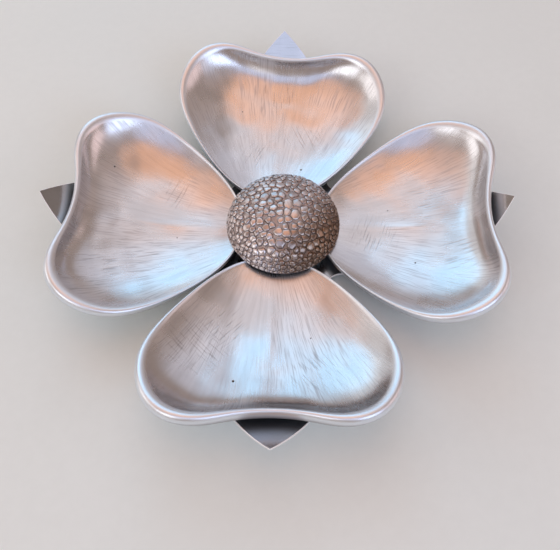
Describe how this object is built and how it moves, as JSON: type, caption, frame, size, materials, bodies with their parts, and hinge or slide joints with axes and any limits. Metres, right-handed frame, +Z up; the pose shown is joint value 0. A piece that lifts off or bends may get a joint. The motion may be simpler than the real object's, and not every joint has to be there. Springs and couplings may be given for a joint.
{
  "type": "flower-shaped petal dish centrepiece",
  "caption": "Blossom-shaped table centrepiece: heart-shaped metal petal dishes on a pointed sheet calyx, under a pebbled screw-down cap.",
  "frame": {"origin": "on the table, under the middle of the calyx; within 2 mm this is also the bottom centre of the overall box", "axes": "+Z up, +X out along the right petal, +Y out along the back petal; the centre bolt and the cap stand 2.9 mm out along +X"},
  "size_m": [0.3169, 0.32, 0.051],
  "materials": {
    "petals": "satin hand-brushed casting",
    "cap": "antiqued casting with dark grooves and polished high spots",
    "calyx": "polished sheet",
    "fasteners": "bright zinc",
    "insert": "turned",
    "fibre": "pressed fibre",
    "feet": "matt"
  },
  "bodies": {
    "base": {"calyx": "calyx", "centre_bolt": "fasteners", "lock_washer": "fasteners", "centre_nut": "fasteners", "seat_washer": "fibre", "petal_right": "petals", "petal_screw_right": "fasteners", "petal_washer_right": "fasteners", "foot_right": "feet", "petal_back": "petals", "petal_screw_back": "fasteners", "petal_washer_back": "fasteners", "foot_back": "feet", "petal_left": "petals", "petal_screw_left": "fasteners", "petal_washer_left": "fasteners", "foot_left": "feet", "petal_front": "petals", "petal_screw_front": "fasteners", "petal_washer_front": "fasteners", "foot_front": "feet"},
    "insert": {"threaded_insert": "insert"},
    "cap": {"pebbled_cap": "cap"}
  },
  "joints": [
    {"name": "cap_lift", "type": "slide", "parent": "base", "child": "insert", "axis": [0, 0, 1], "range_m": [0, 0.01]},
    {"name": "cap_turn", "type": "hinge", "parent": "insert", "child": "cap", "pos_m": [0.0029, 0, 0.0202], "axis": [0, 0, 1], "range_deg": [0, 2880]}
  ],
  "couplings": [
    {"joint": "cap_lift", "follows": "cap_turn", "m_per_rad": 0.00019894}
  ]
}
